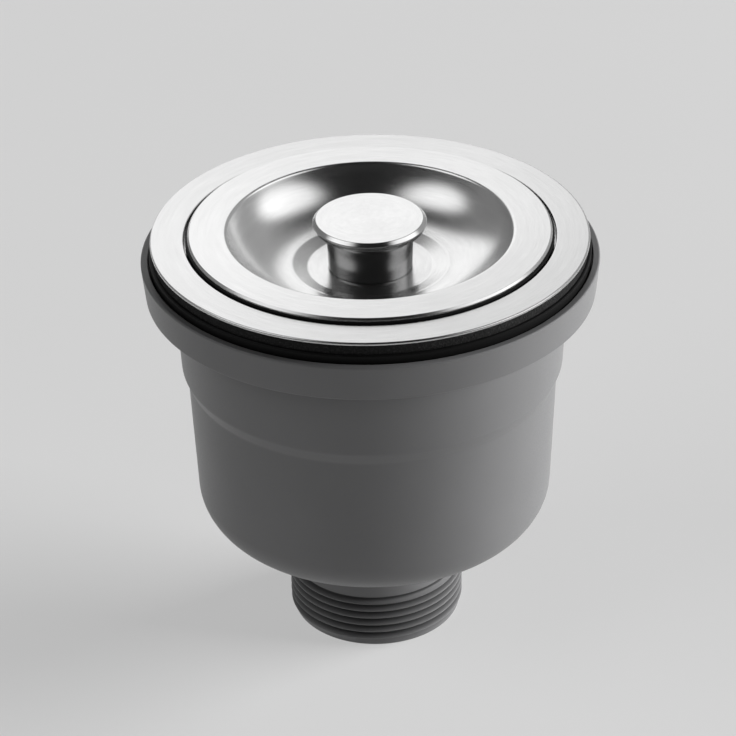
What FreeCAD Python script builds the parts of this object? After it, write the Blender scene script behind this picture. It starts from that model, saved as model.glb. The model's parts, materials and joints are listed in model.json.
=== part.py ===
"""Basket strainer waste: a lidded sink flange with its basket, clamped by a moulded cup with a threaded outlet.

Millimetres, +Z up. The origin is the centre of the outlet's lower end, and Z is the axis that every ring turns on.
"""
import FreeCAD, Part
import math
import os

# Whole height, from the outlet's lower end to the flange's top
waste_height = 116.0

# Outlet, from its lower end up
outlet_bore_r = 20.0
thread_r = 23.9
thread_relief = 0.9
thread_lead = 0.9
pilot_length = 2.2
thread_length = 12.8
neck_length = 15.6

# Cup wall, from the outlet up
cup_wall = 2.6
base_fall = 2.0
corner_r = 11.0
lower_wall_draft = 1.6
step_height = 3.6
step_width = 1.5
step_r = 3.0
upper_wall_height = 29.0
upper_wall_draft = 1.2
upper_wall = 3.0

# Collar at the top of the cup
collar_height = 9.6
collar_taper = 0.9
collar_chamfer = 0.5
rim_width = 2.0
seat_depth = 2.0
collar_plate = 2.8
skirt_wall = 2.0
rib_count = 12
rib_width = 1.6
rib_setback = 1.5

# Gaskets
gasket_clearance = 0.3
rubber_overhang = 0.4
rubber_thickness = 4.1
rubber_chamfer = 0.5
foam_setback = 0.4
foam_thickness = 2.7

# Lid, from its edge inwards
lid_r = 47.3
lid_sheet = 0.9
lid_proud = 1.2
lid_edge = 0.35
lid_rim = 10.0
lid_bend = 0.2
bowl_depth = 10.0
bowl_narrowing = 6.0
bowl_round_r = 18.0
sunk_r = 16.4
sunk_slope = 4.0
sunk_fall = 1.0

# Seal under the lid's rim
seal_overhang = 0.5
seal_flap = 1.2
seal_foot = 3.2
seal_clearance = 0.8

# Sink flange
flange_sheet = 0.6
flange_bend = 0.5
lid_gap = 1.0
flange_rim = 8.7
recess_depth = 3.0
ledge_width = 4.3
basket_drop = 9.0
basket_ledge = 2.6
lip_width = 2.6

# Threaded neck on the flange's throat
neck_clearance = 0.2
neck_wall = 3.6
neck_lead = 1.0
neck_end_gap = 3.0
cup_thread_clearance = 0.2

# Knob
knob_height = 13.8
knob_r = 14.9
knob_edge_r = 1.3
knob_edge_fall = 2.3
knob_edge_taper = 0.6
post_r = 11.3
post_taper = 0.3
cove_fall = 1.5
cove_r = 1.5
foot_chamfer = 0.4

# Screw and washer that hold the knob
screw_r = 2.5
screw_grip = 7.5
screw_clearance = 0.2
tap_clearance = 0.05
tap_run_out = 1.5
head_r = 4.6
head_height = 2.8
head_chamfer = 1.0
slot_width = 1.2
slot_depth = 1.4
washer_r = 7.5
washer_thickness = 1.0

# Basket and its handle
basket_sheet = 0.6
basket_clearance = 0.4
basket_wall_gap = 0.6
basket_depth = 45.0
basket_narrowing = 3.0
basket_corner_r = 5.0
hole_r = 3.0
middle_hole_r = 4.0
wall_rows = 3
wall_columns = 14
wall_pitch = 9.5
wall_first = 12.0
floor_rings = 2
floor_pitch = 11.5
floor_hole_count = 6
handle_width = 8.0
handle_thickness = 1.2
handle_gap = 1.7
handle_leg = 9.0
handle_bend = 6.0
weld_gap = 0.1

# Heights of the outlet and of the cup's bottom
thread_foot_z = pilot_length
thread_top_z = thread_foot_z + thread_length
base_z = thread_top_z + neck_length
corner_z = base_z + base_fall

# Heights from the flange down to the top of the cup, whose lower wall takes what is left
flange_z = waste_height
foam_top_z = flange_z - flange_sheet
rubber_top_z = foam_top_z - foam_thickness
seat_z = rubber_top_z - rubber_thickness
rim_z = seat_z + seat_depth
collar_foot_z = rim_z - collar_height
plate_z = seat_z - collar_plate
upper_z = seat_z - upper_wall_height
step_z = upper_z - step_height

# Heights of the recess, and of what hangs in the throat
recess_z = flange_z - recess_depth
basket_seat_z = recess_z - basket_drop
neck_top_z = recess_z - flange_sheet
neck_foot_z = upper_z + neck_end_gap
lid_z = flange_z + lid_proud
lid_under_z = lid_z - lid_sheet
floor_z = lid_z - bowl_depth
sunk_z = floor_z - sunk_fall
sunk_under_z = sunk_z - lid_sheet
washer_under_z = sunk_under_z - washer_thickness
head_under_z = washer_under_z - head_height
basket_rim_z = basket_seat_z + basket_sheet
basket_floor_z = basket_seat_z - basket_depth
handle_top_z = head_under_z - handle_gap

# Radii that follow from the lid outwards and inwards
bowl_r = lid_r - lid_rim
recess_r = lid_r + lid_gap
flange_r = recess_r + flange_rim
gasket_bore_r = recess_r + flange_sheet + flange_bend + gasket_clearance
foam_r = flange_r - foam_setback
rubber_r = flange_r + rubber_overhang
seat_r = rubber_r + gasket_clearance
collar_r = seat_r + rim_width
collar_foot_r = collar_r - collar_taper
throat_r = lid_r - ledge_width
seal_r = lid_r + seal_overhang
basket_seat_r = throat_r - basket_ledge
neck_bore_r = throat_r + flange_sheet + neck_clearance
neck_foot_bore_r = basket_seat_r + flange_sheet + neck_clearance
neck_thread_r = neck_bore_r + neck_wall
basket_rim_r = throat_r - basket_clearance
basket_wall_r = basket_seat_r - basket_wall_gap - basket_sheet
basket_foot_r = basket_wall_r - basket_narrowing

# Radii of the cup, from its own thread outwards and down
cup_thread_r = neck_thread_r + cup_thread_clearance
upper_foot_r = cup_thread_r + upper_wall
upper_top_r = upper_foot_r + upper_wall_draft
lower_top_r = upper_foot_r - step_width
lower_foot_r = lower_top_r - lower_wall_draft
plain_r = thread_r - thread_relief


def eased_wire(corners):
    """A closed wire in the XZ plane through (x, z, ease) corners.

    A positive ease is the radius of an arc tangent to both sides, a negative one a chamfer's leg, and 0 is sharp.
    """
    points = [FreeCAD.Vector(x, 0, z) for x, z, ease in corners]
    starts, middles, ends = [], [], []
    for i, here in enumerate(points):
        back = (points[i - 1] - here).normalize()
        ahead = (points[(i + 1) % len(points)] - here).normalize()
        ease = corners[i][2]
        half = back.getAngle(ahead) / 2
        trim = ease / math.tan(half) if ease > 0 else -ease
        inward = (back + ahead).normalize() if ease > 0 else FreeCAD.Vector()
        starts.append(here + back * trim)
        middles.append(here + inward * (ease / math.sin(half) - ease))
        ends.append(here + ahead * trim)
    edges = []
    for i in range(len(points)):
        edges.append(Part.LineSegment(ends[i - 1], starts[i]).toShape())
        if corners[i][2] > 0:
            edges.append(Part.Arc(starts[i], middles[i], ends[i]).toShape())
        elif corners[i][2] < 0:
            edges.append(Part.LineSegment(starts[i], ends[i]).toShape())
    return Part.Wire(edges)


def turned(corners):
    """A solid of revolution about Z from the corners of its section."""
    face = Part.Face(eased_wire(corners))
    return face.revolve(FreeCAD.Vector(), FreeCAD.Vector(0, 0, 1), 360)


def sheet_section(line, thickness):
    """Corners of a bent sheet: its line of (x, z, bend), then the same line moved to its left by the thickness.

    A bend is the radius on the inner side of a corner, and the outer side's is larger by the thickness.
    """
    points = [FreeCAD.Vector(x, 0, z) for x, z, bend in line]
    runs = [(after - before).normalize() for before, after in zip(points, points[1:])]
    lefts = [FreeCAD.Vector(-run.z, 0, run.x) for run in runs]
    near, far = [], []
    for i, (x, z, bend) in enumerate(line):
        left_before = lefts[max(i - 1, 0)]
        left_after = lefts[min(i, len(lefts) - 1)]
        turn = left_before.dot(runs[min(i, len(runs) - 1)])
        shift = (left_before + left_after) * (thickness / (1 + left_before.dot(left_after)))
        outer = bend + thickness if bend else 0
        near.append((x, z, outer if turn > 0 else bend))
        far.append((x + shift.x, z + shift.z, bend if turn > 0 else outer))
    return near + far[::-1]


def cylinder(radius, length, foot, direction):
    return Part.makeCylinder(radius, length, FreeCAD.Vector(*foot), FreeCAD.Vector(*direction))


def polar(shape, angle):
    """A copy of the shape, turned about Z by an angle in degrees."""
    copy = shape.copy()
    copy.rotate(FreeCAD.Vector(), FreeCAD.Vector(0, 0, 1), angle)
    return copy


def make_cup_body():
    """One moulding: threaded outlet, rounded cup with a stepped and drafted wall, and a skirted collar."""
    inner_foot_r = lower_foot_r - cup_wall
    inner_top_r = lower_top_r - cup_wall
    skirt_top_r = collar_r - skirt_wall
    skirt_foot_r = collar_foot_r - skirt_wall
    outside = [
        (outlet_bore_r, 0, 0),
        (plain_r, 0, 0),
        (thread_r, thread_foot_z, 0),
        (thread_r, thread_top_z - thread_lead, 0),
        (plain_r, thread_top_z, 0),
        (plain_r, base_z, 0),
        (lower_foot_r, corner_z, corner_r),
        (lower_top_r, step_z, step_r),
        (upper_foot_r, upper_z, step_r),
        (upper_top_r, plate_z, 0),
    ]
    collar = [
        (skirt_top_r, plate_z, 0),
        (skirt_foot_r, collar_foot_z, 0),
        (collar_foot_r, collar_foot_z, -collar_chamfer),
        (collar_r, rim_z, -collar_chamfer),
        (seat_r, rim_z, 0),
        (seat_r, seat_z, 0),
    ]
    inside = [
        (cup_thread_r, seat_z, 0),
        (cup_thread_r, upper_z, 0),
        (inner_top_r, step_z, 0),
        (inner_foot_r, corner_z + cup_wall, corner_r - cup_wall),
        (outlet_bore_r, base_z + cup_wall, -cup_wall / 2),
    ]
    cup = turned(outside + collar + inside)
    rib = Part.makeBox(skirt_foot_r + skirt_wall / 2 - upper_foot_r, rib_width, plate_z - collar_foot_z - rib_setback)
    rib.translate(FreeCAD.Vector(upper_foot_r, -rib_width / 2, collar_foot_z + rib_setback))
    ribs = [polar(rib, 360 * i / rib_count) for i in range(rib_count)]
    return cup.fuse(ribs).removeSplitter()


def make_lower_gasket():
    """Rubber ring that stands in the collar's seat, with its edge broken above the rim."""
    return turned([
        (gasket_bore_r, seat_z, 0),
        (rubber_r, seat_z, 0),
        (rubber_r, rubber_top_z, -rubber_chamfer),
        (gasket_bore_r, rubber_top_z, 0),
    ])


def make_upper_gasket():
    """Foam ring stuck under the flange's rim."""
    return turned([
        (gasket_bore_r, rubber_top_z, 0),
        (foam_r, rubber_top_z, 0),
        (foam_r, foam_top_z, 0),
        (gasket_bore_r, foam_top_z, 0),
    ])


def make_sink_flange():
    """Pressed sheet: flat rim, recess for the lid, throat, basket ledge, and a lip turned out under the neck."""
    line = [
        (flange_r, flange_z, 0),
        (recess_r, flange_z, flange_bend),
        (recess_r, recess_z, 0),
        (throat_r, recess_z, 0),
        (throat_r, basket_seat_z, 0),
        (basket_seat_r, basket_seat_z, 0),
        (basket_seat_r, neck_foot_z - flange_sheet, 0),
        (basket_seat_r + flange_sheet + lip_width, neck_foot_z - flange_sheet, 0),
    ]
    section = sheet_section(line, flange_sheet)
    section[0] = (flange_r, flange_z, -flange_sheet / 2)
    return turned(section)


def make_threaded_neck():
    """Moulded ring held between the recess and the throat's lip, with its thread at the major radius."""
    shelf_z = basket_seat_z - flange_sheet - neck_clearance
    return turned([
        (neck_foot_bore_r, neck_foot_z, 0),
        (neck_thread_r, neck_foot_z, -neck_lead),
        (neck_thread_r, neck_top_z, 0),
        (neck_bore_r, neck_top_z, 0),
        (neck_bore_r, shelf_z, 0),
        (neck_foot_bore_r, shelf_z, 0),
    ])


def make_lid_dish():
    """Pressed sheet: flat rim, round bowl, and a sunk middle under the knob."""
    line = [
        (lid_r, lid_z, 0),
        (bowl_r, lid_z, lid_bend),
        (bowl_r - bowl_narrowing, floor_z, bowl_round_r),
        (sunk_r + sunk_slope, floor_z, 0),
        (sunk_r, sunk_z, 0),
        (screw_r + screw_clearance, sunk_z, 0),
    ]
    section = sheet_section(line, lid_sheet)
    section[0] = (lid_r, lid_z, -lid_edge)
    return turned(section)


def make_lid_seal():
    """Ring under the lid's rim: a flap against the rim, and a foot on the recess ledge that shows past the lid."""
    flap_bore_r = bowl_r + seal_clearance
    foot_bore_r = seal_r - seal_foot
    return turned([
        (foot_bore_r, recess_z, 0),
        (seal_r, recess_z, 0),
        (seal_r, lid_under_z, 0),
        (flap_bore_r, lid_under_z, 0),
        (flap_bore_r, lid_under_z - seal_flap, 0),
        (foot_bore_r, lid_under_z - seal_flap, 0),
    ])


def make_lid_knob():
    """Turned knob: flat cap with a rounded edge, coved underside and tapered post, tapped from below."""
    top_z = sunk_z + knob_height
    edge_z = top_z - knob_edge_fall
    cove_z = edge_z - cove_fall
    foot_r = post_r - post_taper
    tap_r = screw_r + tap_clearance
    tap_z = sunk_z + screw_grip + tap_run_out
    return turned([
        (tap_r, sunk_z, 0),
        (foot_r - foot_chamfer, sunk_z, 0),
        (foot_r, sunk_z + foot_chamfer, 0),
        (post_r, cove_z, cove_r),
        (knob_r - knob_edge_taper, edge_z, knob_edge_taper / 2),
        (knob_r, top_z, knob_edge_r),
        (0, top_z, 0),
        (0, tap_z, 0),
        (tap_r, tap_z, 0),
    ])


def make_knob_washer():
    """Plain washer between the bowl and the screw's head."""
    return turned([
        (screw_r + screw_clearance, washer_under_z, 0),
        (washer_r, washer_under_z, 0),
        (washer_r, sunk_under_z, 0),
        (screw_r + screw_clearance, sunk_under_z, 0),
    ])


def make_knob_screw():
    """Pan-head screw from below, with its thread at the major radius and a slot in its head."""
    screw = turned([
        (0, head_under_z, 0),
        (head_r, head_under_z, -head_chamfer),
        (head_r, washer_under_z, 0),
        (screw_r, washer_under_z, 0),
        (screw_r, sunk_z + screw_grip, 0),
        (0, sunk_z + screw_grip, 0),
    ])
    slot = Part.makeBox(2 * head_r, slot_width, slot_depth)
    slot.translate(FreeCAD.Vector(-head_r, -slot_width / 2, head_under_z))
    return screw.cut(slot)


def basket_inner_r(z):
    """Inner radius of the basket's tapered wall at a height."""
    return basket_wall_r - basket_narrowing * (basket_rim_z - z) / (basket_rim_z - basket_floor_z)


def make_basket_cup():
    """Drawn basket: rim that hangs on the ledge, tapered wall and flat floor, both punched with round holes.

    Rows of wall holes are staggered, with the first and last clear of the handle's legs.
    """
    line = [
        (basket_rim_r, basket_rim_z, 0),
        (basket_wall_r, basket_rim_z, 0),
        (basket_foot_r, basket_floor_z, basket_corner_r),
        (0, basket_floor_z, 0),
    ]
    basket = turned(sheet_section(line, basket_sheet))
    punches = []
    for row in range(wall_rows):
        z = basket_floor_z + wall_first + row * wall_pitch
        punch = cylinder(hole_r, basket_rim_r, (0, 0, z), (1, 0, 0))
        for column in range(wall_columns):
            punches.append(polar(punch, 360 * (column + (row + 1) % 2 / 2) / wall_columns))
    punch_foot_z = basket_floor_z - wall_first / 2
    punches.append(cylinder(middle_hole_r, wall_first, (0, 0, punch_foot_z), (0, 0, 1)))
    for ring in range(1, floor_rings + 1):
        punch = cylinder(hole_r, wall_first, (ring * floor_pitch, 0, punch_foot_z), (0, 0, 1))
        count = floor_hole_count * ring
        punches += [polar(punch, 360 * i / count) for i in range(count)]
    return basket.cut(punches)


def make_basket_handle():
    """Flat strap bent into an arch, with its legs spot-welded inside the basket's wall."""
    leg_foot_z = handle_top_z - handle_leg

    def leg_x(z):
        """Where a flat leg's corners reach the round wall."""
        return math.sqrt((basket_inner_r(z) - weld_gap) ** 2 - (handle_width / 2) ** 2)

    arch = [
        (leg_x(leg_foot_z), leg_foot_z, 0),
        (leg_x(handle_top_z), handle_top_z, handle_bend),
        (-leg_x(handle_top_z), handle_top_z, handle_bend),
        (-leg_x(leg_foot_z), leg_foot_z, 0),
    ]
    face = Part.Face(eased_wire(sheet_section(arch, handle_thickness)))
    strap = face.extrude(FreeCAD.Vector(0, handle_width, 0))
    strap.translate(FreeCAD.Vector(0, -handle_width / 2, 0))
    return strap


nodes = {
    "cup_body": make_cup_body,
    "lower_gasket": make_lower_gasket,
    "upper_gasket": make_upper_gasket,
    "sink_flange": make_sink_flange,
    "threaded_neck": make_threaded_neck,
    "lid_dish": make_lid_dish,
    "lid_seal": make_lid_seal,
    "lid_knob": make_lid_knob,
    "knob_washer": make_knob_washer,
    "knob_screw": make_knob_screw,
    "basket_cup": make_basket_cup,
    "basket_handle": make_basket_handle,
}

os.makedirs("parts", exist_ok=True)
for name, make in nodes.items():
    shape = make()
    solids = shape.Solids
    Part.makeCompound(solids).exportStep(f"parts/{name}.step")
    print(name, len(solids), shape.isValid(), round(shape.Volume, 1), shape.BoundBox)
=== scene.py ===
"""Looks of a basket strainer waste: turned and pressed surfaces, their finishes and a photo stage.

Metres, +Z up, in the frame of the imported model. Every ring turns on the Z axis.
"""

import json
import math

import bpy
import numpy as np
from bpy.props import FloatProperty, FloatVectorProperty, IntProperty, PointerProperty
from mathutils import Matrix, Vector


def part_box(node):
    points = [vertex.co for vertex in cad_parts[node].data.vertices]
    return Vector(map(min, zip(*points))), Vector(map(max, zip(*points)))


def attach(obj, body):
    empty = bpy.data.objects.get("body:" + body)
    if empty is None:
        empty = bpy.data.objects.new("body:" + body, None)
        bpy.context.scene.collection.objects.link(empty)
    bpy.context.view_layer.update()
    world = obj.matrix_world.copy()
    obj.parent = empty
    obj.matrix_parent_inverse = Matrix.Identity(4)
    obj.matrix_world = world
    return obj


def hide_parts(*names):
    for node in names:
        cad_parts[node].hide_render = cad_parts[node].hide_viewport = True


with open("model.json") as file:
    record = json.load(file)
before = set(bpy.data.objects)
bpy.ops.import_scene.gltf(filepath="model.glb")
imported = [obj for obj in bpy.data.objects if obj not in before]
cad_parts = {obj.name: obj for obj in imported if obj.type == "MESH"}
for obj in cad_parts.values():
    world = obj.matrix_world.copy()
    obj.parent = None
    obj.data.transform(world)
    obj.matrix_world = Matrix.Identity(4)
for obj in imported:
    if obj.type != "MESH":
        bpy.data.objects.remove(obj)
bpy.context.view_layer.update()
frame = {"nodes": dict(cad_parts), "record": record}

bl_info = {
    "name": "Basket strainer waste",
    "version": (1, 0, 0),
    "blender": (4, 5, 0),
    "location": "View3D > Sidebar > Waste",
    "description": "Builds the visible surfaces, finishes and stage of a basket strainer waste",
    "category": "Add Mesh",
}

MM = 0.001
WHITE = (1.0, 1.0, 1.0, 1.0)

# Distance of the points beside an arc, which keep the flats flat
SUPPORT = 0.12 * MM

# Points round a turned piece, and round the foam, with the rows of its torn edge
SEGMENTS = 256
FOAM_SEGMENTS = 384
FOAM_ROWS = 7

# Height between two rows of the thread
THREAD_STEP = 0.1 * MM

# Edges that turn by more than this stay sharp
SHARP = math.radians(35)

# Brushing lines per metre across the steel
BRUSH_LINES = 5200.0

# Moulded skins: strength of the shine, grains per metre and depth of a grain
PLASTIC_SKIN = (0.45, 2600.0, 0.06 * MM)
RUBBER_SKIN = (0.12, 1800.0, 0.05 * MM)

# Panels of the studio: azimuth from behind the part towards its right, elevation, angle of the full
# core, angle where the panel ends (all in degrees), and brightness
PANELS = (
    (-12, 22, 13, 24, 0.9),
    (88, 43, 13, 30, 1.12),
    (-91, 55, 9, 26, 1.13),
)

# Azimuth and elevation of the softboxes, in degrees
KEY_PLACE = (81, 10)
FILL_PLACE = (-107, 36)

# Fades of the studio's tones: how far a direction points back, right or up where each starts and
# ends
BACK_FADE = (-0.25, 0.35)
SIDE_FADE = (-0.3, 0.3)
OVERHEAD_FADE = (0.55, 0.9)
HORIZON_FADE = (0.2, 0.44)
AMBIENT_FADE = (0.0, 0.5)


def top_of(node):
    """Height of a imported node's highest point, in millimetres."""
    return round(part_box(node)[1].z / MM, 3)


def slot_colour(slot):
    """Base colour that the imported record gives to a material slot."""
    rows = {row["slot"]: row["base_color"] for row in frame["record"]["materials"]}
    return tuple(rows[slot])


def size(name, millimetres, description):
    """A length that a user may change."""
    return FloatProperty(
        name=name, description=description, default=millimetres * MM, unit="LENGTH", precision=5
    )


def share(name, value, description):
    """A plain number from 0 to 1."""
    return FloatProperty(
        name=name, description=description, default=value, min=0.0, max=1.0, subtype="FACTOR"
    )


def level(name, value, description):
    """A plain number from 0 up."""
    return FloatProperty(name=name, description=description, default=value, min=0.0)


def angle(name, degrees, description):
    """An angle that a user may change."""
    return FloatProperty(
        name=name, description=description, default=math.radians(degrees), subtype="ANGLE"
    )


def colour(name, value, description):
    """A linear colour."""
    return FloatVectorProperty(
        name=name, description=description, default=value, size=3, min=0.0, max=1.0, subtype="COLOR"
    )


class WasteCupSizes(bpy.types.PropertyGroup):
    """Sizes of the moulded cup, from its outlet up."""

    outlet_bore: size("Outlet bore", 20.0, "Inner radius of the outlet")
    outlet_plain: size("Outlet plain", 23.0, "Radius of the outlet above and below its thread")
    outlet_edge: size("Outlet edge", 0.3, "Rounding of the outlet's lower edges")
    thread_crest: size("Thread crest", 23.9, "Radius over the thread's crests")
    thread_depth: size("Thread depth", 1.48, "Depth of the thread's grooves")
    thread_pitch: size("Thread pitch", 2.309, "Rise of the thread in one turn")
    thread_start: angle("Thread start", 225.0, "Bearing of the thread's crest at the outlet's lower end")
    thread_foot: size("Thread foot", 2.2, "Height where the thread starts")
    thread_top: size("Thread top", 15.0, "Height where the thread runs out")
    thread_lead: size("Thread lead", 0.9, "Height over which the thread's crests fade at its top")
    thread_end: size("Thread end", 16.6, "Height where the last groove has run out into the plain neck")
    base: size("Base", 30.6, "Height where the outlet meets the cup's bottom")
    base_round: size("Base rounding", 0.8, "Rounding where the outlet meets the bottom")
    corner: size("Corner", 32.6, "Height of the bottom where it would meet the wall")
    corner_round: size("Corner rounding", 11.0, "Radius of the bottom corner")
    step: size("Step", 76.0, "Height where the wall steps out")
    upper: size("Upper wall", 79.6, "Height where the upper wall starts")
    step_round: size("Step rounding", 3.0, "Radius of both bends of the step")
    foot_radius: size("Foot radius", 47.5, "Radius of the lower wall at its foot")
    step_radius: size("Step radius", 49.1, "Radius of the lower wall at the step")
    upper_radius: size("Upper radius", 50.6, "Radius of the upper wall at its foot")
    neck_radius: size("Neck radius", 51.8, "Radius of the upper wall under the collar")
    wall: size("Wall", 2.6, "Thickness of the lower wall")
    clamp_bore: size("Clamp bore", 47.6, "Radius of the upper bore that takes the threaded neck")
    plate: size("Plate", 105.8, "Height of the collar's underside")
    plate_round: size("Plate rounding", 0.4, "Rounding of the plate's inner corners and its bore")
    seat: size("Seat", 108.6, "Height of the gasket's seat")
    seat_radius: size("Seat radius", 57.7, "Radius of the gasket's seat")
    rim: size("Rim", top_of("cup_body"), "Height of the collar's rim")
    collar_foot: size("Collar foot", 101.0, "Height of the skirt's lower edge")
    collar_radius: size("Collar radius", 59.7, "Radius of the collar at its rim")
    collar_taper: size("Collar taper", 0.9, "How much the skirt narrows downwards")
    skirt: size("Skirt", 2.0, "Thickness of the skirt")
    edge: size("Edge", 0.5, "Rounding of the collar's edges")
    rib_width: size("Rib width", 1.6, "Thickness of a rib under the collar")
    rib_setback: size("Rib setback", 1.5, "How far the ribs stop above the skirt's edge")
    rib_count: IntProperty(name="Ribs", description="Ribs under the collar", default=12, min=1)


class WasteGasketSizes(bpy.types.PropertyGroup):
    """Sizes of the rubber gasket, the foam gasket and the lid's seal."""

    bore: size("Bore", 49.7, "Inner radius of both gaskets")
    rubber_radius: size("Rubber radius", 57.4, "Outer radius of the rubber gasket")
    rubber_foot: size("Rubber foot", 108.6, "Height of the rubber gasket's lower face")
    rubber_top: size("Rubber top", top_of("lower_gasket"), "Height of the rubber gasket's upper face")
    rubber_edge: size("Rubber edge", 0.5, "Rounding of the rubber gasket's edge")
    foam_radius: size("Foam radius", 56.6, "Outer radius of the foam gasket")
    foam_top: size("Foam top", top_of("upper_gasket"), "Height of the foam gasket's upper face")
    foam_ragged: size("Foam raggedness", 0.16, "How deep the cut edge of the foam wanders")
    seal_radius: size("Seal radius", 47.8, "Outer radius of the lid's seal")
    seal_foot: size("Seal foot", 113.0, "Height of the ledge that the seal stands on")
    seal_foot_bore: size("Seal foot bore", 44.6, "Inner radius of the seal's foot")
    seal_flap_bore: size("Seal flap bore", 38.1, "Inner radius of the seal's flap")
    seal_flap: size("Seal flap", 1.2, "Thickness of the seal's flap")
    seal_edge: size("Seal edge", 0.3, "Rounding of the seal's outer edges")


class WasteFlangeSizes(bpy.types.PropertyGroup):
    """Sizes of the pressed sink flange."""

    radius: size("Radius", 57.0, "Outer radius of the rim")
    top: size("Top", top_of("sink_flange"), "Height of the rim's upper face")
    sheet: size("Sheet", 0.6, "Thickness of the sheet")
    edge: size("Edge", 0.5, "Rounding of the rim's upper outer edge")
    burr: size("Lower edge", 0.05, "Rounding of the rim's lower outer edge")
    bend: size("Bend", 0.3, "Rounding of the edge at the recess")
    recess_radius: size("Recess radius", 48.3, "Radius of the recess that takes the lid")
    recess: size("Recess", 113.0, "Height of the recess's ledge")
    throat_radius: size("Throat radius", 43.0, "Radius of the throat")
    basket_seat: size("Basket seat", 104.0, "Height of the ledge that the basket hangs on")
    basket_radius: size("Basket radius", 40.4, "Radius of the throat under the basket's ledge")
    lip: size("Lip", 82.0, "Height of the lip turned out at the foot")
    lip_radius: size("Lip radius", 43.6, "Outer radius of the lip")


class WasteLidSizes(bpy.types.PropertyGroup):
    """Sizes of the pressed lid, from its edge inwards."""

    radius: size("Radius", 47.3, "Outer radius of the lid")
    top: size("Top", top_of("lid_dish"), "Height of the rim's upper face")
    sheet: size("Sheet", 0.9, "Thickness of the sheet")
    edge: size("Edge", 0.5, "Width and height of the slope round the rim's outer edge")
    edge_round: size("Edge rounding", 0.12, "Rounding of both sides of that slope")
    bowl_radius: size("Bowl radius", 37.3, "Radius where the rim bends into the bowl")
    bend: size("Bend", 0.2, "Inner radius of the rim's bend")
    bowl_narrowing: size("Bowl narrowing", 6.0, "How much the bowl narrows down to its floor")
    floor: size("Floor", 107.2, "Height of the bowl's floor")
    bowl_round: size("Bowl rounding", 18.0, "Radius of the bowl's round side")
    sunk_radius: size("Sunk radius", 16.4, "Radius of the sunk middle")
    sunk_slope: size("Sunk slope", 4.0, "Width of the slope round the sunk middle")
    sunk_bend: size("Sunk bend", 3.0, "Radius of both bends of that slope")
    sunk: size("Sunk", 106.2, "Height of the sunk middle")
    screw_hole: size("Screw hole", 2.7, "Radius of the hole for the knob's screw")


class WasteKnobSizes(bpy.types.PropertyGroup):
    """Sizes of the turned knob."""

    top: size("Top", top_of("lid_knob"), "Height of the cap's upper face")
    foot: size("Foot", 106.2, "Height of the post's foot")
    radius: size("Radius", 14.9, "Radius of the cap")
    bevel: size("Bevel", 1.0, "Width of the slope round the cap's upper face")
    bevel_fall: size("Bevel fall", 0.9, "Height of that slope")
    bevel_round: size("Bevel rounding", 0.35, "Rounding of both edges of that slope")
    edge_fall: size("Edge fall", 2.3, "Height of the cap's edge")
    edge_taper: size("Edge taper", 0.6, "How much the cap's edge narrows downwards")
    post_radius: size("Post radius", 11.3, "Radius of the post under its cove")
    foot_radius: size("Foot radius", 11.0, "Radius of the post at its foot")
    cove_fall: size("Cove fall", 1.5, "Height of the cove under the cap")
    cove_round: size("Cove rounding", 1.5, "Radius of the cove")
    foot_chamfer: size("Foot chamfer", 0.4, "Chamfer at the foot of the post")
    tap_radius: size("Tap radius", 2.55, "Radius of the tapped hole")
    tap_top: size("Tap top", 115.2, "Height of the tapped hole's end")


class WasteFinishes(bpy.types.PropertyGroup):
    """Colours and gloss of the finishes."""

    plastic: colour("Plastic", slot_colour("grey_plastic"), "Colour of the moulded cup")
    rubber: colour("Rubber", slot_colour("black_rubber"), "Colour of the rubber gasket and the seal")
    foam: colour("Foam", slot_colour("grey_foam"), "Colour of the foam gasket's walls")
    foam_pore: colour("Foam pores", (0.04, 0.04, 0.04), "Colour of the foam's torn cell edges")
    brushed: colour("Brushed steel", slot_colour("brushed_stainless"), "Colour of the flange's sheet")
    lid: colour("Lid steel", (0.85, 0.85, 0.85), "Colour of the lid's sheet, a little brighter")
    plain: colour("Plain steel", slot_colour("plain_stainless"), "Colour of the drawn sheet")
    # Painted shade: a darker copy of the knob's steel for the post under the cap
    post: colour("Turned steel", (0.31, 0.31, 0.31), "Colour of the knob's post, left as turned")
    brushed_gloss: share("Brushed roughness", 0.24, "Roughness of the brushed steel")
    post_gloss: share("Turned roughness", 0.17, "Roughness of the turned knob's cap and post")
    brushed_stretch: share("Brushing", 0.55, "How far the brushing stretches highlights")
    plastic_gloss: share("Plastic roughness", 0.4, "Roughness of the moulded skin")
    rubber_gloss: share("Rubber roughness", 0.45, "Roughness of the rubber")


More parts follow.
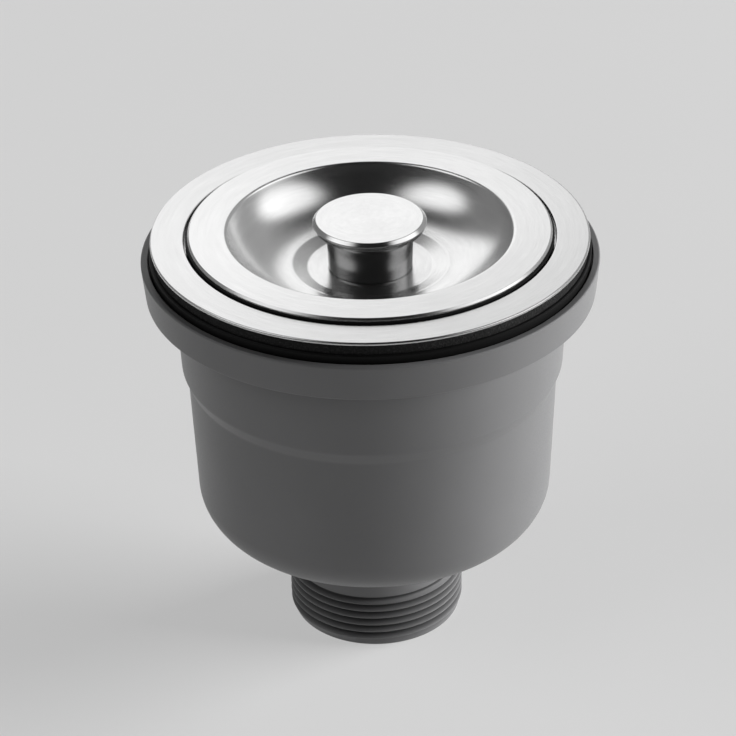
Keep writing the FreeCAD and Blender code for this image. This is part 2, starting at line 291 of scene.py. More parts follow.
class WasteStage(bpy.types.PropertyGroup):
    """Floor, lights and camera."""

    floor_colour: colour("Floor", (0.66, 0.66, 0.66), "Colour of the floor")
    backdrop_colour: colour("Backdrop", (0.9, 0.9, 0.9), "Colour of the backdrop in the floor's look")
    backdrop_share: share("Backdrop share", 0.46, "Share of the backdrop in the floor's look")
    floor_width: size("Floor width", 6000.0, "Width of the square floor")
    left_level: level("Left", 0.18, "Brightness of the studio behind the part on its left")
    right_level: level("Right", 0.34, "Brightness of the studio behind the part on its right")
    front_level: level("Front", 0.015, "Brightness of the studio on the camera's side")
    low_level: level("Low front", 0.2, "Brightness near the horizon on the camera's side")
    ambient_level: level("Ambient", 0.3, "Even light from near the horizon, all round")
    overhead_level: level("Overhead", 0.03, "Even light from overhead")
    key_power: level("Key", 620.0, "Power of the right softbox, in watts")
    fill_power: level("Fill", 55.0, "Power of the left softbox, in watts")
    box_width: size("Softbox width", 3600.0, "Width of a softbox")
    box_height: size("Softbox height", 2200.0, "Height of a softbox")
    box_distance: size("Softbox distance", 4800.0, "Distance of the softboxes from the part")
    camera_distance: size("Camera distance", 690.49, "Distance of the camera from the flange's middle")
    camera_lens: level("Lens", 130.2, "Focal length in millimetres")
    camera_pitch: angle("Camera height", 28.25, "Angle above the horizon")
    camera_roll: angle("Camera roll", -1.115, "Turn about the line of sight")
    aim_across: angle("Aim across", 0.096, "Turn that sets the part aside")
    aim_down: angle("Aim down", -2.9362, "Turn that sets the part up in the frame")


def direction(azimuth, elevation):
    """Unit vector at an azimuth from +Y towards +X and an elevation, in degrees."""
    a, e = math.radians(azimuth), math.radians(elevation)
    return (math.sin(a) * math.cos(e), math.cos(a) * math.cos(e), math.sin(e))


def unit(vector):
    """The vector divided by its length."""
    return vector / np.linalg.norm(vector)


def eased_line(corners, closed=True, arc_points=9):
    """Points of a section through (radius, height, easing) corners.

    A corner with an easing e becomes the arc of radius e tangent to both sides. It starts
    e / tan(half) from the corner, where half is half the angle between the sides. Its points are
    turned evenly about the centre, which lies e / sin(half) from the corner on the bisector. One more
    point on each side keeps the flats flat in the shading.
    """
    points = np.array([corner[:2] for corner in corners], float)
    pieces = []
    for here, corner in enumerate(corners):
        ease = corner[2]
        open_end = not closed and here in (0, len(corners) - 1)
        if ease <= 0 or open_end:
            pieces.append(points[here][None])
            continue
        back = unit(points[here - 1] - points[here])
        ahead = unit(points[(here + 1) % len(points)] - points[here])
        half = math.acos(float(np.clip(back @ ahead, -1, 1))) / 2
        trim = ease / math.tan(half)
        centre = points[here] + unit(back + ahead) * ease / math.sin(half)
        first = points[here] + back * trim - centre
        last = points[here] + ahead * trim - centre
        turn = math.pi - 2 * half
        steps = np.linspace(0, 1, arc_points)[:, None]
        swept = first * np.sin((1 - steps) * turn) + last * np.sin(steps * turn)
        arc = centre + swept / math.sin(turn)
        pieces.append(np.vstack([arc[0] + back * SUPPORT, arc, arc[-1] + ahead * SUPPORT]))
    return np.vstack(pieces)


def bent_sheet(line, sheet):
    """Corners of a sheet's section: a line of (radius, height, bend), then that line moved left.

    A bend is the inner radius, and the outer one is larger by the sheet. Each point moves along the
    sum of its two sides' left-hand normals, by the sheet over one plus their dot product, which keeps
    both sides parallel.
    """
    points = np.array([corner[:2] for corner in line], float)
    runs = np.array([unit(run) for run in np.diff(points, axis=0)])
    lefts = np.stack([-runs[:, 1], runs[:, 0]], axis=1)
    before = np.vstack([lefts[:1], lefts])
    after = np.vstack([lefts, lefts[-1:]])
    shifts = (before + after) * (sheet / (1 + np.sum(before * after, axis=1)))[:, None]
    turns = np.sum(before * np.vstack([runs, runs[-1:]]), axis=1)
    bends = np.array([corner[2] for corner in line], float)
    outer = np.where(bends > 0, bends + sheet, 0)
    near = np.column_stack([points, np.where(turns > 0, outer, bends)])
    far = np.column_stack([points + shifts, np.where(turns > 0, bends, outer)])
    return np.vstack([near, far[::-1]]).tolist()


def new_piece(name, points, faces, uv, nodes, material, sunk=None):
    """A smooth mesh object at the origin that rides on the part and stands for CAD nodes.

    sunk says how far each point lies under its plain section, for the shade that the finishes paint into
    grooves.
    """
    mesh = bpy.data.meshes.new(name)
    mesh.from_pydata(points, [], faces)
    layer = mesh.uv_layers.new(name="UVMap")
    layer.data.foreach_set("uv", np.ascontiguousarray(uv, np.float32).ravel())
    if sunk is not None:
        depth = mesh.attributes.new("sunk", "FLOAT", "POINT")
        depth.data.foreach_set("value", np.ascontiguousarray(sunk, np.float32))
    mesh.shade_smooth()
    mesh.set_sharp_from_angle(angle=SHARP)
    mesh.materials.append(material)
    mesh.validate()
    piece = bpy.data.objects.new(name, mesh)
    bpy.context.scene.collection.objects.link(piece)
    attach(piece, "root")
    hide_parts(*nodes)
    return piece


def turned_piece(
    name, section, nodes, material, closed=True, segments=SEGMENTS, inset=0.0, sunk=0.0
):
    """The section carried round Z.

    A point at radius r and height z goes to (r cos t, r sin t, z) for t once round. inset is taken off
    the radius, point by point, and sunk is kept for the shade painted into grooves. A row on the axis is
    one point, with a fan of triangles. U is the length along the section and V the turn, so U runs
    across the brushing.
    """
    rows = len(section)
    turn = np.arange(segments) * (2 * np.pi / segments)
    radius = np.broadcast_to(section[:, :1] - inset, (rows, segments))
    height = np.broadcast_to(section[:, 1:], (rows, segments))
    points = np.stack([radius * np.cos(turn), radius * np.sin(turn), height], axis=2)
    points = points.reshape(-1, 3)
    steps = np.linalg.norm(np.diff(np.vstack([section, section[:1]]), axis=0), axis=1)
    length = np.concatenate([[0.0], np.cumsum(steps)])

    on_axis = section[:, 0] < 1e-9
    numbers = np.arange(rows * segments).reshape(rows, segments)
    numbers[on_axis] = numbers[on_axis, :1]
    bands = rows if closed else rows - 1
    i, j = np.meshgrid(np.arange(bands), np.arange(segments), indexing="ij")
    i_next, j_next = (i + 1) % rows, (j + 1) % segments
    quads = np.stack([
        numbers[i, j], numbers[i, j_next], numbers[i_next, j_next], numbers[i_next, j],
    ], axis=-1)
    uv = np.stack([
        np.stack([length[i], length[i], length[i + 1], length[i + 1]], axis=-1),
        np.stack([j, j + 1, j + 1, j], axis=-1) / segments,
    ], axis=-1)
    from_axis, to_axis = on_axis[i[:, 0]], on_axis[i_next[:, 0]]
    picks = (
        (~(from_axis | to_axis), [0, 1, 2, 3]),
        (from_axis, [0, 2, 3]),
        (to_axis, [0, 1, 2]),
    )
    corners = [quads[band][..., pick] for band, pick in picks]
    corner_uv = [uv[band][..., pick, :].reshape(-1, 2) for band, pick in picks]
    every = np.concatenate([group.ravel() for group in corners])
    used, renumbered = np.unique(every, return_inverse=True)
    groups = np.split(renumbered.ravel(), np.cumsum([group.size for group in corners])[:-1])
    faces = []
    for group, (band, pick) in zip(groups, picks):
        faces += group.reshape(-1, len(pick)).tolist()
    uv = np.concatenate(corner_uv)
    depth = np.broadcast_to(sunk, (rows, segments)).ravel()[used]
    return new_piece(name, points[used], faces, uv, nodes, material, depth)


def thread_cut(section, s):
    """How deep the thread's groove cuts each point of a section, at every bearing.

    The groove's radius is the crest's, less half the depth times one less the cosine of the phase. The
    phase rises by one with each pitch of height and falls by one with each turn. What stands out past
    the groove is cut, and the cut fades to nought over the lead below the thread's end.
    """
    turn = np.arange(SEGMENTS) * (2 * np.pi / SEGMENTS)
    phase = section[:, 1:] / s.thread_pitch - (turn - s.thread_start) / (2 * np.pi)
    groove = s.thread_crest - s.thread_depth * (0.5 - 0.5 * np.cos(2 * np.pi * phase))
    left = np.clip((s.thread_end - section[:, 1:]) / s.thread_lead, 0, 1)
    return np.maximum(section[:, :1] - groove, 0) * left


def rib_blocks(count, width, near, far, low, high):
    """Points and faces of the ribs.

    One upright block, as wide as a rib, runs from the near to the far radius and from the low to the
    high level. It is turned about Z by even steps.
    """
    bearing = np.arange(count) * (2 * np.pi / count)
    across, along = np.cos(bearing), np.sin(bearing)
    spin = np.stack([
        np.stack([across, -along], axis=1),
        np.stack([along, across], axis=1),
    ], axis=1)
    half = width / 2
    corners = np.array([(near, -half), (far, -half), (far, half), (near, half)])
    flat = np.einsum("nij,kj->nki", spin, corners)
    points = np.concatenate([
        np.concatenate([flat, np.full((count, 4, 1), low)], axis=2),
        np.concatenate([flat, np.full((count, 4, 1), high)], axis=2),
    ], axis=1)
    block = np.array([
        (3, 2, 1, 0), (4, 5, 6, 7), (0, 1, 5, 4), (1, 2, 6, 5), (2, 3, 7, 6), (3, 0, 4, 7),
    ])
    faces = (np.arange(count)[:, None, None] * 8 + block).reshape(-1, 4)
    return points.reshape(-1, 3), faces


def torn_edge(rows, segments, depth, waves=55.0):
    """Insets of a torn edge, up to a depth.

    Random numbers are smoothed round the ring, where their wave number k is weighed by
    exp(-(k / waves)^2), and lose their sign. The first and the last row stay whole.
    """
    rough = np.random.default_rng(11).standard_normal((rows, segments))
    count = np.minimum(np.arange(segments), segments - np.arange(segments))
    spectrum = np.fft.fft(rough, axis=1) * np.exp(-(count / waves) ** 2)
    smooth = np.abs(np.fft.ifft(spectrum, axis=1).real)
    inset = smooth / smooth.max() * depth
    inset[[0, -1]] = 0
    return inset


def set_inputs(tree, made, inputs):
    """Set each input of a node to a value, or link it from another node's output."""
    for key, value in inputs.items():
        if isinstance(value, bpy.types.NodeSocket):
            tree.links.new(value, made.inputs[key])
        else:
            made.inputs[key].default_value = value


def add_node(tree, kind, inputs=None, **settings):
    """A shader node with its settings and inputs."""
    made = tree.nodes.new(kind)
    for key, value in settings.items():
        setattr(made, key, value)
    set_inputs(tree, made, inputs or {})
    return made


def ramp(tree, value, limits, low=0.0, high=1.0, blend="LINEAR"):
    """A value that runs from low to high between two limits."""
    made = add_node(tree, "ShaderNodeMapRange", {
        "Value": value, "From Min": limits[0], "From Max": limits[1], "To Min": low, "To Max": high,
    }, interpolation_type=blend)
    return made.outputs[0]


def eased(tree, value, limits, low, high):
    """A ramp that is eased at both limits."""
    return ramp(tree, value, limits, low, high, "SMOOTHSTEP")


def worked_out(tree, operation, first, second):
    """The sum, product or larger one of two values."""
    made = add_node(tree, "ShaderNodeMath", {0: first, 1: second}, operation=operation)
    return made.outputs[0]


def scaled(tree, base, by):
    """A colour times a value."""
    made = add_node(tree, "ShaderNodeVectorMath", {0: base, "Scale": by}, operation="SCALE")
    return made.outputs[0]


def stretched(tree, where, by):
    """A place with each of its parts times a number of its own."""
    made = add_node(tree, "ShaderNodeVectorMath", {0: where, 1: by}, operation="MULTIPLY")
    return made.outputs[0]


def noise(tree, where, scale, detail, roughness=0.5):
    """Smooth noise from 0 to 1 at a place."""
    made = add_node(tree, "ShaderNodeTexNoise", {
        "Vector": where, "Scale": scale, "Detail": detail, "Roughness": roughness,
    })
    return made.outputs["Fac"]


def grained(tree, strength, depth, height):
    """A surface tilted by the slopes of a fine relief."""
    made = add_node(tree, "ShaderNodeBump", {
        "Strength": strength, "Distance": depth, "Height": height,
    })
    return made.outputs[0]


def new_finish(name):
    """An empty node material, with its shader."""
    material = bpy.data.materials.new(name)
    material.use_nodes = True
    tree = material.node_tree
    tree.nodes.clear()
    shader = add_node(tree, "ShaderNodeBsdfPrincipled")
    out = add_node(tree, "ShaderNodeOutputMaterial", {"Surface": shader.outputs["BSDF"]})
    out.location, shader.location = (600, 0), (300, 0)
    return material, tree, shader


def direct_rays(tree):
    """One for rays from the camera, off shiny surfaces and through clear ones, nought for the rest."""
    path = add_node(tree, "ShaderNodeLightPath").outputs
    first = worked_out(tree, "MAXIMUM", path["Is Camera Ray"], path["Is Glossy Ray"])
    return worked_out(tree, "MAXIMUM", first, path["Is Transmission Ray"])


def brushed_steel(name, base, roughness, stretch):
    """Steel brushed in circles.

    Streaks are noise over (cos t, sin t, length along the section), fine across the lines and long
    along them, so they close round the axis. They move the roughness, the colour a little and the
    surface.
    """
    material, tree, shader = new_finish(name)
    where = add_node(tree, "ShaderNodeTexCoord")
    place = add_node(tree, "ShaderNodeSeparateXYZ", {0: where.outputs["Object"]})
    along = add_node(tree, "ShaderNodeSeparateXYZ", {0: where.outputs["UV"]})
    flat = add_node(tree, "ShaderNodeCombineXYZ", {0: place.outputs[0], 1: place.outputs[1]})
    way = add_node(tree, "ShaderNodeVectorMath", {0: flat.outputs[0]}, operation="NORMALIZE")
    bearing = add_node(tree, "ShaderNodeSeparateXYZ", {0: way.outputs[0]})
    streak = add_node(tree, "ShaderNodeCombineXYZ", {
        0: bearing.outputs[0], 1: bearing.outputs[1], 2: along.outputs[0],
    }).outputs[0]
    fine = noise(tree, stretched(tree, streak, (9.0, 9.0, BRUSH_LINES)), 1.0, 3.0, 0.6)
    broad = noise(tree, stretched(tree, streak, (3.0, 3.0, BRUSH_LINES / 7)), 1.0, 2.0)
    tangent = add_node(tree, "ShaderNodeTangent", direction_type="UV_MAP", uv_map="UVMap")
    set_inputs(tree, shader, {
        "Metallic": 1.0,
        "Anisotropic": stretch,
        "Base Color": scaled(tree, base, ramp(tree, broad, (0.3, 0.7), 0.97, 1.02)),
        "Roughness": ramp(tree, fine, (0.3, 0.7), roughness - 0.03, roughness + 0.03),
        "Normal": grained(tree, 0.05, 0.03 * MM, fine),
        "Tangent": tangent.outputs[0],
    })
    return material


def drawn_steel(name, base):
    """Plain drawn sheet: soft cloudy noise on the colour and roughness, with a faint grain."""
    material, tree, shader = new_finish(name)
    where = add_node(tree, "ShaderNodeTexCoord").outputs["Object"]
    cloud = noise(tree, where, 90.0, 4.0)
    grain = noise(tree, where, 2600.0, 2.0)
    set_inputs(tree, shader, {
        "Metallic": 1.0,
        "Base Color": scaled(tree, base, ramp(tree, cloud, (0.0, 1.0), 0.88, 1.1)),
        "Roughness": ramp(tree, cloud, (0.0, 1.0), 0.24, 0.4),
        "Normal": grained(tree, 0.1, 0.05 * MM, grain),
    })
    return material


def moulded_skin(name, base, roughness, skin):
    """Moulded plastic or rubber: a fine grain in the surface and the gloss, and clouds in the colour.

    Shade is painted into cut grooves: their colour gets darker with their depth.
    """
    shine, grain_scale, grain_depth = skin
    material, tree, shader = new_finish(name)
    where = add_node(tree, "ShaderNodeTexCoord").outputs["Object"]
    cloud = noise(tree, where, 45.0, 3.0)
    grain = noise(tree, where, grain_scale, 3.0)
    # Painted shade: the colour falls to 0.35 of itself with the depth of the thread's grooves
    sunk = add_node(tree, "ShaderNodeAttribute", attribute_name="sunk").outputs["Fac"]
    clouded = scaled(tree, base, ramp(tree, cloud, (0.0, 1.0), 0.93, 1.07))
    set_inputs(tree, shader, {
        "Specular IOR Level": shine,
        "Base Color": scaled(tree, clouded, ramp(tree, sunk, (0.0, 1.2 * MM), 1.0, 0.35)),
        "Roughness": ramp(tree, grain, (0.3, 0.7), roughness - 0.05, roughness + 0.05),
        "Normal": grained(tree, 0.2, grain_depth, grain),
    })
    return material


def cell_foam(name, wall, pore):
    """Cut foam: cells of about half a millimetre, dark inside, with paler torn edges in places."""
    material, tree, shader = new_finish(name)
    where = add_node(tree, "ShaderNodeTexCoord").outputs["Object"]
    cells = add_node(tree, "ShaderNodeTexVoronoi", {"Vector": where, "Scale": 2800.0})
    torn = ramp(tree, noise(tree, where, 2300.0, 3.0), (0.5, 0.75))
    shade = add_node(tree, "ShaderNodeMix", {
        "Factor": torn, 6: (*wall, 1.0), 7: (*pore, 1.0),
    }, data_type="RGBA")
    set_inputs(tree, shader, {
        "Roughness": 0.85,
        "Specular IOR Level": 0.15,
        "Base Color": shade.outputs[2],
        "Normal": grained(tree, 0.7, 0.3 * MM, cells.outputs["Distance"]),
    })
    return material


class WASTE_OT_cup(bpy.types.Operator):
    """Moulded cup with its threaded outlet and ribbed collar"""

    bl_idname = "waste.cup"
    bl_label = "Cup"

    def execute(self, context):
        s = context.scene.waste_cup
        looks = context.scene.waste_finishes
        skin = moulded_skin(
            "grey_moulded_plastic", looks.plastic, looks.plastic_gloss, PLASTIC_SKIN
        )
        outlet = eased_line([
            (s.outlet_bore, 0, s.outlet_edge),
            (s.outlet_plain, 0, s.outlet_edge),
            (s.thread_crest, s.thread_foot, 0),
        ], closed=False)
        # The thread's band stands at its crests and comes in to the plain neck over the lead
        rows = int(round((s.thread_end - s.thread_foot) / THREAD_STEP)) + 1
        height = np.linspace(s.thread_foot, s.thread_end, rows)
        band = np.interp(
            height,
            [s.thread_foot, s.thread_top - s.thread_lead, s.thread_top],
            [s.thread_crest, s.thread_crest, s.outlet_plain],
        )
        thread = np.column_stack([band, height])
        # Up the outside over the collar and its rim, and down the inside to the outlet's bore
        skirt_top = s.collar_radius - s.skirt
        skirt_foot = s.collar_radius - s.collar_taper - s.skirt
        rest = eased_line([
            (s.outlet_plain, s.thread_end, 0),
            (s.outlet_plain, s.base, s.base_round),
            (s.foot_radius, s.corner, s.corner_round),
            (s.step_radius, s.step, s.step_round),
            (s.upper_radius, s.upper, s.step_round),
            (s.neck_radius, s.plate, s.plate_round),
            (skirt_top, s.plate, s.plate_round),
            (skirt_foot, s.collar_foot, s.edge * 0.6),
            (s.collar_radius - s.collar_taper, s.collar_foot, s.edge),
            (s.collar_radius, s.rim, s.edge),
            (s.seat_radius, s.rim, s.edge * 0.6),
            (s.seat_radius, s.seat, 0),
            (s.clamp_bore, s.seat, s.plate_round),
            (s.clamp_bore, s.upper, 0),
            (s.step_radius - s.wall, s.step, 0),
            (s.foot_radius - s.wall, s.corner + s.wall, s.corner_round - s.wall),
            (s.outlet_bore, s.base + s.wall, s.wall / 2),
            (s.outlet_bore, 1.0 * MM, 0),
        ], closed=False, arc_points=13)
        section = np.vstack([outlet[:-1], thread, rest[1:]])
        first = len(outlet) - 1
        inset = np.zeros((len(section), SEGMENTS))
        inset[first:first + rows] = thread_cut(thread, s)
        # A groove is sunk by its whole depth under the crests, once it is cut in far enough. The finish
        # paints shade into the groove by this depth
        sunk = inset + (s.thread_crest - section[:, :1]) * np.clip(inset / (0.4 * MM), 0, 1)
        turned_piece(
            "cup_body_skin", section, ["cup_body"], skin, inset=inset, sunk=sunk
        )

        points, faces = rib_blocks(
            s.rib_count, s.rib_width, s.upper_radius, skirt_foot + s.skirt / 2,
            s.collar_foot + s.rib_setback, s.plate + s.skirt / 4,
        )
        uv = np.tile([(0, 0), (5, 0), (5, 5), (0, 5)], (len(faces), 1)) * MM
        new_piece(
            "collar_ribs", points, faces.tolist(), uv, ["cup_body"], skin
        )
        return {"FINISHED"}


class WASTE_OT_gaskets(bpy.types.Operator):
    """Rubber gasket, foam gasket and the lid's seal"""

    bl_idname = "waste.gaskets"
    bl_label = "Gaskets"

    def execute(self, context):
        s = context.scene.waste_gaskets
        lid = context.scene.waste_lid
        looks = context.scene.waste_finishes
        rubber = moulded_skin("black_rubber", looks.rubber, looks.rubber_gloss, RUBBER_SKIN)
        foam = cell_foam("grey_cell_foam", looks.foam, looks.foam_pore)
        section = eased_line([
            (s.bore, s.rubber_foot, 0),
            (s.rubber_radius, s.rubber_foot, 0),
            (s.rubber_radius, s.rubber_top, s.rubber_edge),
            (s.bore, s.rubber_top, 0),
        ])
        turned_piece("rubber_gasket", section, ["lower_gasket"], rubber)

        # A plain ring whose outside has rows enough for its torn edge
        outside = np.linspace(s.rubber_top, s.foam_top, FOAM_ROWS)
        section = np.vstack([
            [(s.bore, s.rubber_top)],
            np.column_stack([np.full(FOAM_ROWS, s.foam_radius), outside]),
            [(s.bore, s.foam_top)],
        ])
        inset = torn_edge(len(section), FOAM_SEGMENTS, s.foam_ragged)
        turned_piece(
            "foam_gasket", section, ["upper_gasket"], foam,
            segments=FOAM_SEGMENTS, inset=inset,
        )

        # A foot on the ledge, with a flap inwards under the lid
        under = lid.top - lid.sheet
        section = eased_line([
            (s.seal_foot_bore, s.seal_foot, 0),
            (s.seal_radius, s.seal_foot, s.seal_edge),
            (s.seal_radius, under, s.seal_edge),
            (s.seal_flap_bore, under, 0),
            (s.seal_flap_bore, under - s.seal_flap, 0),
            (s.seal_foot_bore, under - s.seal_flap, 0),
        ])
        turned_piece("lid_seal_ring", section, ["lid_seal"], rubber)
        return {"FINISHED"}


class WASTE_OT_flange(bpy.types.Operator):
    """Pressed flange that lies on the sink"""

    bl_idname = "waste.flange"
    bl_label = "Flange"

    def execute(self, context):
        s = context.scene.waste_flange
        looks = context.scene.waste_finishes
        steel = brushed_steel(
            "brushed_flange", looks.brushed, looks.brushed_gloss, looks.brushed_stretch
        )
        # From the rim's edge down the recess, the throat and the basket's ledge to the turned lip
        line = [
            (s.radius, s.top, 0),
            (s.recess_radius, s.top, s.bend),
            (s.recess_radius, s.recess, 0),
            (s.throat_radius, s.recess, 0),
            (s.throat_radius, s.basket_seat, 0),
            (s.basket_radius, s.basket_seat, 0),
            (s.basket_radius, s.lip, 0),
            (s.lip_radius, s.lip, 0),
        ]
        corners = bent_sheet(line, s.sheet)
        corners[0][2] = s.edge
        corners[1][2] = s.bend
        corners[-1][2] = s.burr
        section = eased_line(corners)
        turned_piece("sink_flange_sheet", section, ["sink_flange"], steel)
        return {"FINISHED"}


class WASTE_OT_lid(bpy.types.Operator):
    """Pressed lid with its bowl"""

    bl_idname = "waste.lid"
    bl_label = "Lid"

    def execute(self, context):
        s = context.scene.waste_lid
        looks = context.scene.waste_finishes
        steel = brushed_steel(
            "brushed_lid", looks.lid, looks.brushed_gloss, looks.brushed_stretch
        )
        # From the rim's edge down the bowl's round side and its floor to the sunk middle
        line = [
            (s.radius, s.top, 0),
            (s.bowl_radius, s.top, s.bend),
            (s.bowl_radius - s.bowl_narrowing, s.floor, s.bowl_round),
            (s.sunk_radius + s.sunk_slope, s.floor, s.sunk_bend),
            (s.sunk_radius, s.sunk, s.sunk_bend),
            (s.screw_hole, s.sunk, 0),
        ]
        corners = bent_sheet(line, s.sheet)
        # A slope takes the place of the rim's upper outer corner
        corners[0] = (s.radius - s.edge, s.top, s.edge_round)
        corners.append((s.radius, s.top - s.edge, s.edge_round))
        section = eased_line(corners, arc_points=21)
        turned_piece("lid_dish_sheet", section, ["lid_dish"], steel)
        return {"FINISHED"}


class WASTE_OT_knob(bpy.types.Operator):
    """Turned knob in the middle of the lid"""

    bl_idname = "waste.knob"
    bl_label = "Knob"

    def execute(self, context):
        s = context.scene.waste_knob
        looks = context.scene.waste_finishes
        steel = brushed_steel(
            "turned_knob", looks.brushed, looks.post_gloss, looks.brushed_stretch
        )
        # The post's steel made darker: painted shade under the cap
        turned = brushed_steel("painted_shade_post", looks.post, looks.post_gloss, looks.brushed_stretch)
        # From the tapped hole's end down to the foot, up the post and over the cap to its middle
        edge = s.top - s.edge_fall
        cove = edge - s.cove_fall
        section = eased_line([
            (0, s.tap_top, 0),
            (s.tap_radius, s.tap_top, 0),
            (s.tap_radius, s.foot, 0),
            (s.foot_radius - s.foot_chamfer, s.foot, 0),
            (s.foot_radius, s.foot + s.foot_chamfer, 0),
            (s.post_radius, cove, s.cove_round),
            (s.radius - s.edge_taper, edge, s.edge_taper / 2),
            (s.radius, s.top - s.bevel_fall, s.bevel_round),
            (s.radius - s.bevel, s.top, s.bevel_round),
            (0, s.top, 0),
        ], closed=False, arc_points=11)
        knob = turned_piece(
            "knob_turned", section, ["lid_knob"], steel, closed=False
        )
        # All below the cap's edge gets a darker copy of the cap's steel: painted shade under the cap
        knob.data.materials.append(turned)
        middles = np.empty((len(knob.data.polygons), 3), np.float32)
        knob.data.polygons.foreach_get("center", middles.ravel())
        shaded_below_cap = (middles[:, 2] < edge).astype(np.int32)
        knob.data.polygons.foreach_set("material_index", shaded_below_cap)
        return {"FINISHED"}


class WASTE_OT_hidden(bpy.types.Operator):
    """Finishes of the neck, the knob's screw and washer, and the basket"""

    bl_idname = "waste.hidden"
    bl_label = "Hidden pieces"

    def execute(self, context):
        looks = context.scene.waste_finishes
        drawn = drawn_steel("drawn_basket", looks.plain)
        finishes = {
            "threaded_neck": moulded_skin(
                "grey_neck_plastic", looks.plastic, looks.plastic_gloss, PLASTIC_SKIN
            ),
            "basket_cup": drawn,
            "basket_handle": drawn,
            "knob_washer": drawn,
            "knob_screw": drawn,
        }
        for name, finish in finishes.items():
            slots = frame["nodes"][name].data.materials
            slots.clear()
            slots.append(finish)
        return {"FINISHED"}


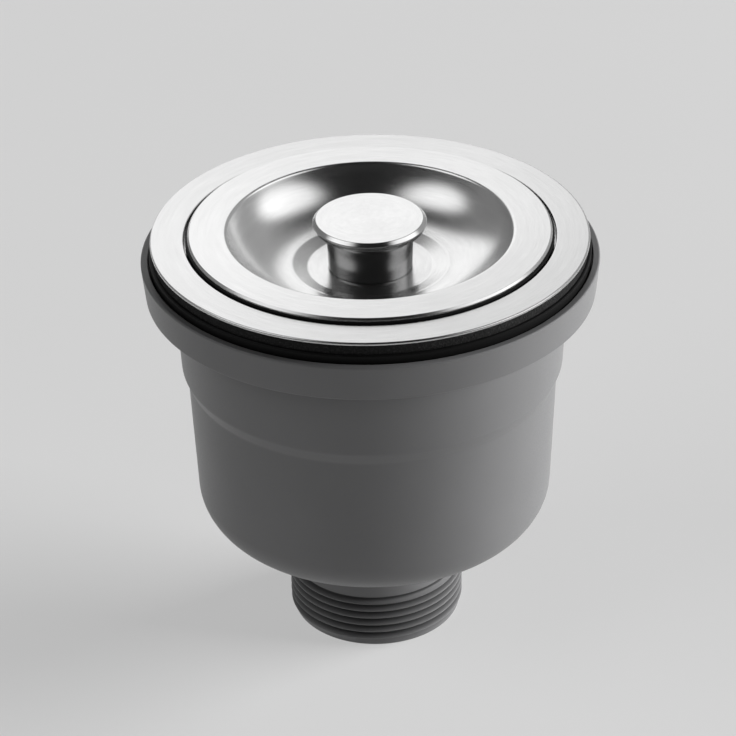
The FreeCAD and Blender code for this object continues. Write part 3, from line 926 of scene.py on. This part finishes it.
class WASTE_OT_stage(bpy.types.Operator):
    """Pale floor, studio light and camera"""

    bl_idname = "waste.stage"
    bl_label = "Stage"

    def execute(self, context):
        s = context.scene.waste_stage
        scene = context.scene
        scene.view_settings.view_transform = "Standard"
        self.make_floor(scene, s)
        self.make_world(scene, s)
        middle = Vector((0, 0, scene.waste_flange.top))
        self.make_softbox(scene, "key_softbox", middle, KEY_PLACE, s.key_power, s)
        self.make_softbox(scene, "fill_softbox", middle, FILL_PLACE, s.fill_power, s)
        self.make_camera(scene, middle, s)
        return {"FINISHED"}

    def make_floor(self, scene, s):
        """A square floor.

        Seen directly or in reflections it shows the backdrop too, so the shadow stays pale.
        """
        half = s.floor_width / 2
        mesh = bpy.data.meshes.new("floor")
        corners = np.array([
            (-half, -half, 0), (half, -half, 0), (half, half, 0), (-half, half, 0),
        ])
        mesh.from_pydata(corners, [], [(0, 1, 2, 3)])
        material, tree, shader = new_finish("pale_floor")
        where = add_node(tree, "ShaderNodeTexCoord").outputs["Object"]
        cloud = noise(tree, where, 9.0, 2.0)
        set_inputs(tree, shader, {
            "Base Color": scaled(tree, s.floor_colour, ramp(tree, cloud, (0.0, 1.0), 0.97, 1.03)),
            "Roughness": 0.7,
            "Specular IOR Level": 0.2,
        })
        backdrop = add_node(tree, "ShaderNodeEmission", {"Color": (*s.backdrop_colour, 1.0)})
        shown = worked_out(tree, "MULTIPLY", direct_rays(tree), s.backdrop_share)
        mixed = add_node(tree, "ShaderNodeMixShader", {
            0: shown, 1: shader.outputs["BSDF"], 2: backdrop.outputs[0],
        })
        tree.links.new(mixed.outputs[0], tree.nodes["Material Output"].inputs["Surface"])
        mesh.materials.append(material)
        floor = bpy.data.objects.new("floor", mesh)
        scene.collection.objects.link(floor)

    def make_world(self, scene, s):
        """A studio seen directly and in reflections, and an even light for everything else.

        It is grey behind, darker on its left than on its right, and near the horizon in front. It is
        dark above that and overhead, with pale panels round about.
        """
        world = bpy.data.worlds.new("studio")
        scene.world = world
        world.use_nodes = True
        tree = world.node_tree
        tree.nodes.clear()
        where = add_node(tree, "ShaderNodeTexCoord").outputs["Generated"]
        right, back, up = add_node(tree, "ShaderNodeSeparateXYZ", {0: where}).outputs
        behind = eased(tree, back, BACK_FADE, 0.0, 1.0)
        under = eased(tree, up, OVERHEAD_FADE, 1.0, 0.0)
        side = eased(tree, right, SIDE_FADE, s.left_level, s.right_level)
        grey = worked_out(tree, "MULTIPLY", worked_out(tree, "MULTIPLY", behind, under), side)
        glow = worked_out(tree, "ADD", grey, s.front_level)
        ahead = eased(tree, back, BACK_FADE, s.low_level, 0.0)
        horizon = eased(tree, up, HORIZON_FADE, 1.0, 0.0)
        glow = worked_out(tree, "ADD", glow, worked_out(tree, "MULTIPLY", ahead, horizon))
        for azimuth, elevation, full, none, strength in PANELS:
            near = add_node(tree, "ShaderNodeVectorMath", {
                0: where, 1: direction(azimuth, elevation),
            }, operation="DOT_PRODUCT")
            limits = (math.cos(math.radians(none)), math.cos(math.radians(full)))
            panel = eased(tree, near.outputs["Value"], limits, 0.0, strength)
            glow = worked_out(tree, "ADD", glow, panel)
        seen = add_node(tree, "ShaderNodeBackground", {"Strength": glow, "Color": WHITE})
        soft = eased(tree, up, AMBIENT_FADE, s.ambient_level, s.overhead_level)
        even = add_node(tree, "ShaderNodeBackground", {"Strength": soft, "Color": WHITE})
        mixed = add_node(tree, "ShaderNodeMixShader", {
            0: direct_rays(tree), 1: even.outputs[0], 2: seen.outputs[0],
        })
        add_node(tree, "ShaderNodeOutputWorld", {"Surface": mixed.outputs[0]})

    def make_softbox(self, scene, name, middle, bearing, power, s):
        """A wide light at an azimuth and elevation, turned to the part.

        The world's panels stand for it in reflections.
        """
        way = Vector(direction(*bearing))
        light = bpy.data.lights.new(name, "AREA")
        light.shape = "RECTANGLE"
        light.size, light.size_y = s.box_width, s.box_height
        light.energy = power
        lamp = bpy.data.objects.new(name, light)
        lamp.location = middle + way * s.box_distance
        lamp.rotation_mode = "QUATERNION"
        lamp.rotation_quaternion = (-way).to_track_quat("-Z", "Y")
        lamp.visible_glossy = False
        scene.collection.objects.link(lamp)

    def make_camera(self, scene, middle, s):
        """A camera on the part's front.

        It looks at the flange's middle, and is then turned aside, down and about its line of sight.
        """
        place = Vector((0, -math.cos(s.camera_pitch), math.sin(s.camera_pitch)))
        place *= s.camera_distance
        ahead = -place.normalized()
        right = Vector((1, 0, 0))
        up = right.cross(ahead)
        ahead = (ahead + up * math.tan(s.aim_down) - right * math.tan(s.aim_across)).normalized()
        right = ahead.cross(up).normalized()
        up = right.cross(ahead)
        turned_right = right * math.cos(s.camera_roll) + up * math.sin(s.camera_roll)
        turned_up = up * math.cos(s.camera_roll) - right * math.sin(s.camera_roll)
        data = bpy.data.cameras.new("camera")
        data.sensor_width = 36.0
        data.lens = s.camera_lens
        data.clip_start, data.clip_end = 0.01, 20.0
        camera = bpy.data.objects.new("camera", data)
        axes = Matrix((turned_right, turned_up, -ahead)).transposed().to_4x4()
        camera.matrix_world = Matrix.Translation(middle + place) @ axes
        scene.collection.objects.link(camera)
        scene.camera = camera


class WASTE_PT_panel(bpy.types.Panel):
    """Sidebar panel that lists the pieces"""

    bl_idname = "WASTE_PT_panel"
    bl_label = "Basket strainer waste"
    bl_space_type = "VIEW_3D"
    bl_region_type = "UI"
    bl_category = "Waste"

    def draw(self, context):
        for step in STEPS:
            self.layout.operator(step.bl_idname)


GROUPS = {
    "waste_cup": WasteCupSizes,
    "waste_gaskets": WasteGasketSizes,
    "waste_flange": WasteFlangeSizes,
    "waste_lid": WasteLidSizes,
    "waste_knob": WasteKnobSizes,
    "waste_finishes": WasteFinishes,
    "waste_stage": WasteStage,
}
STEPS = (
    WASTE_OT_cup,
    WASTE_OT_gaskets,
    WASTE_OT_flange,
    WASTE_OT_lid,
    WASTE_OT_knob,
    WASTE_OT_hidden,
    WASTE_OT_stage,
)


def register():
    for name, group in GROUPS.items():
        bpy.utils.register_class(group)
        setattr(bpy.types.Scene, name, PointerProperty(type=group))
    for step in STEPS:
        bpy.utils.register_class(step)
    bpy.utils.register_class(WASTE_PT_panel)


def unregister():
    bpy.utils.unregister_class(WASTE_PT_panel)
    for step in reversed(STEPS):
        bpy.utils.unregister_class(step)
    for name, group in reversed(GROUPS.items()):
        delattr(bpy.types.Scene, name)
        bpy.utils.unregister_class(group)


def main():
    register()
    bpy.ops.waste.cup()
    bpy.ops.waste.gaskets()
    bpy.ops.waste.flange()
    bpy.ops.waste.lid()
    bpy.ops.waste.knob()
    bpy.ops.waste.hidden()
    bpy.ops.waste.stage()


if __name__ == "__main__":
    main()
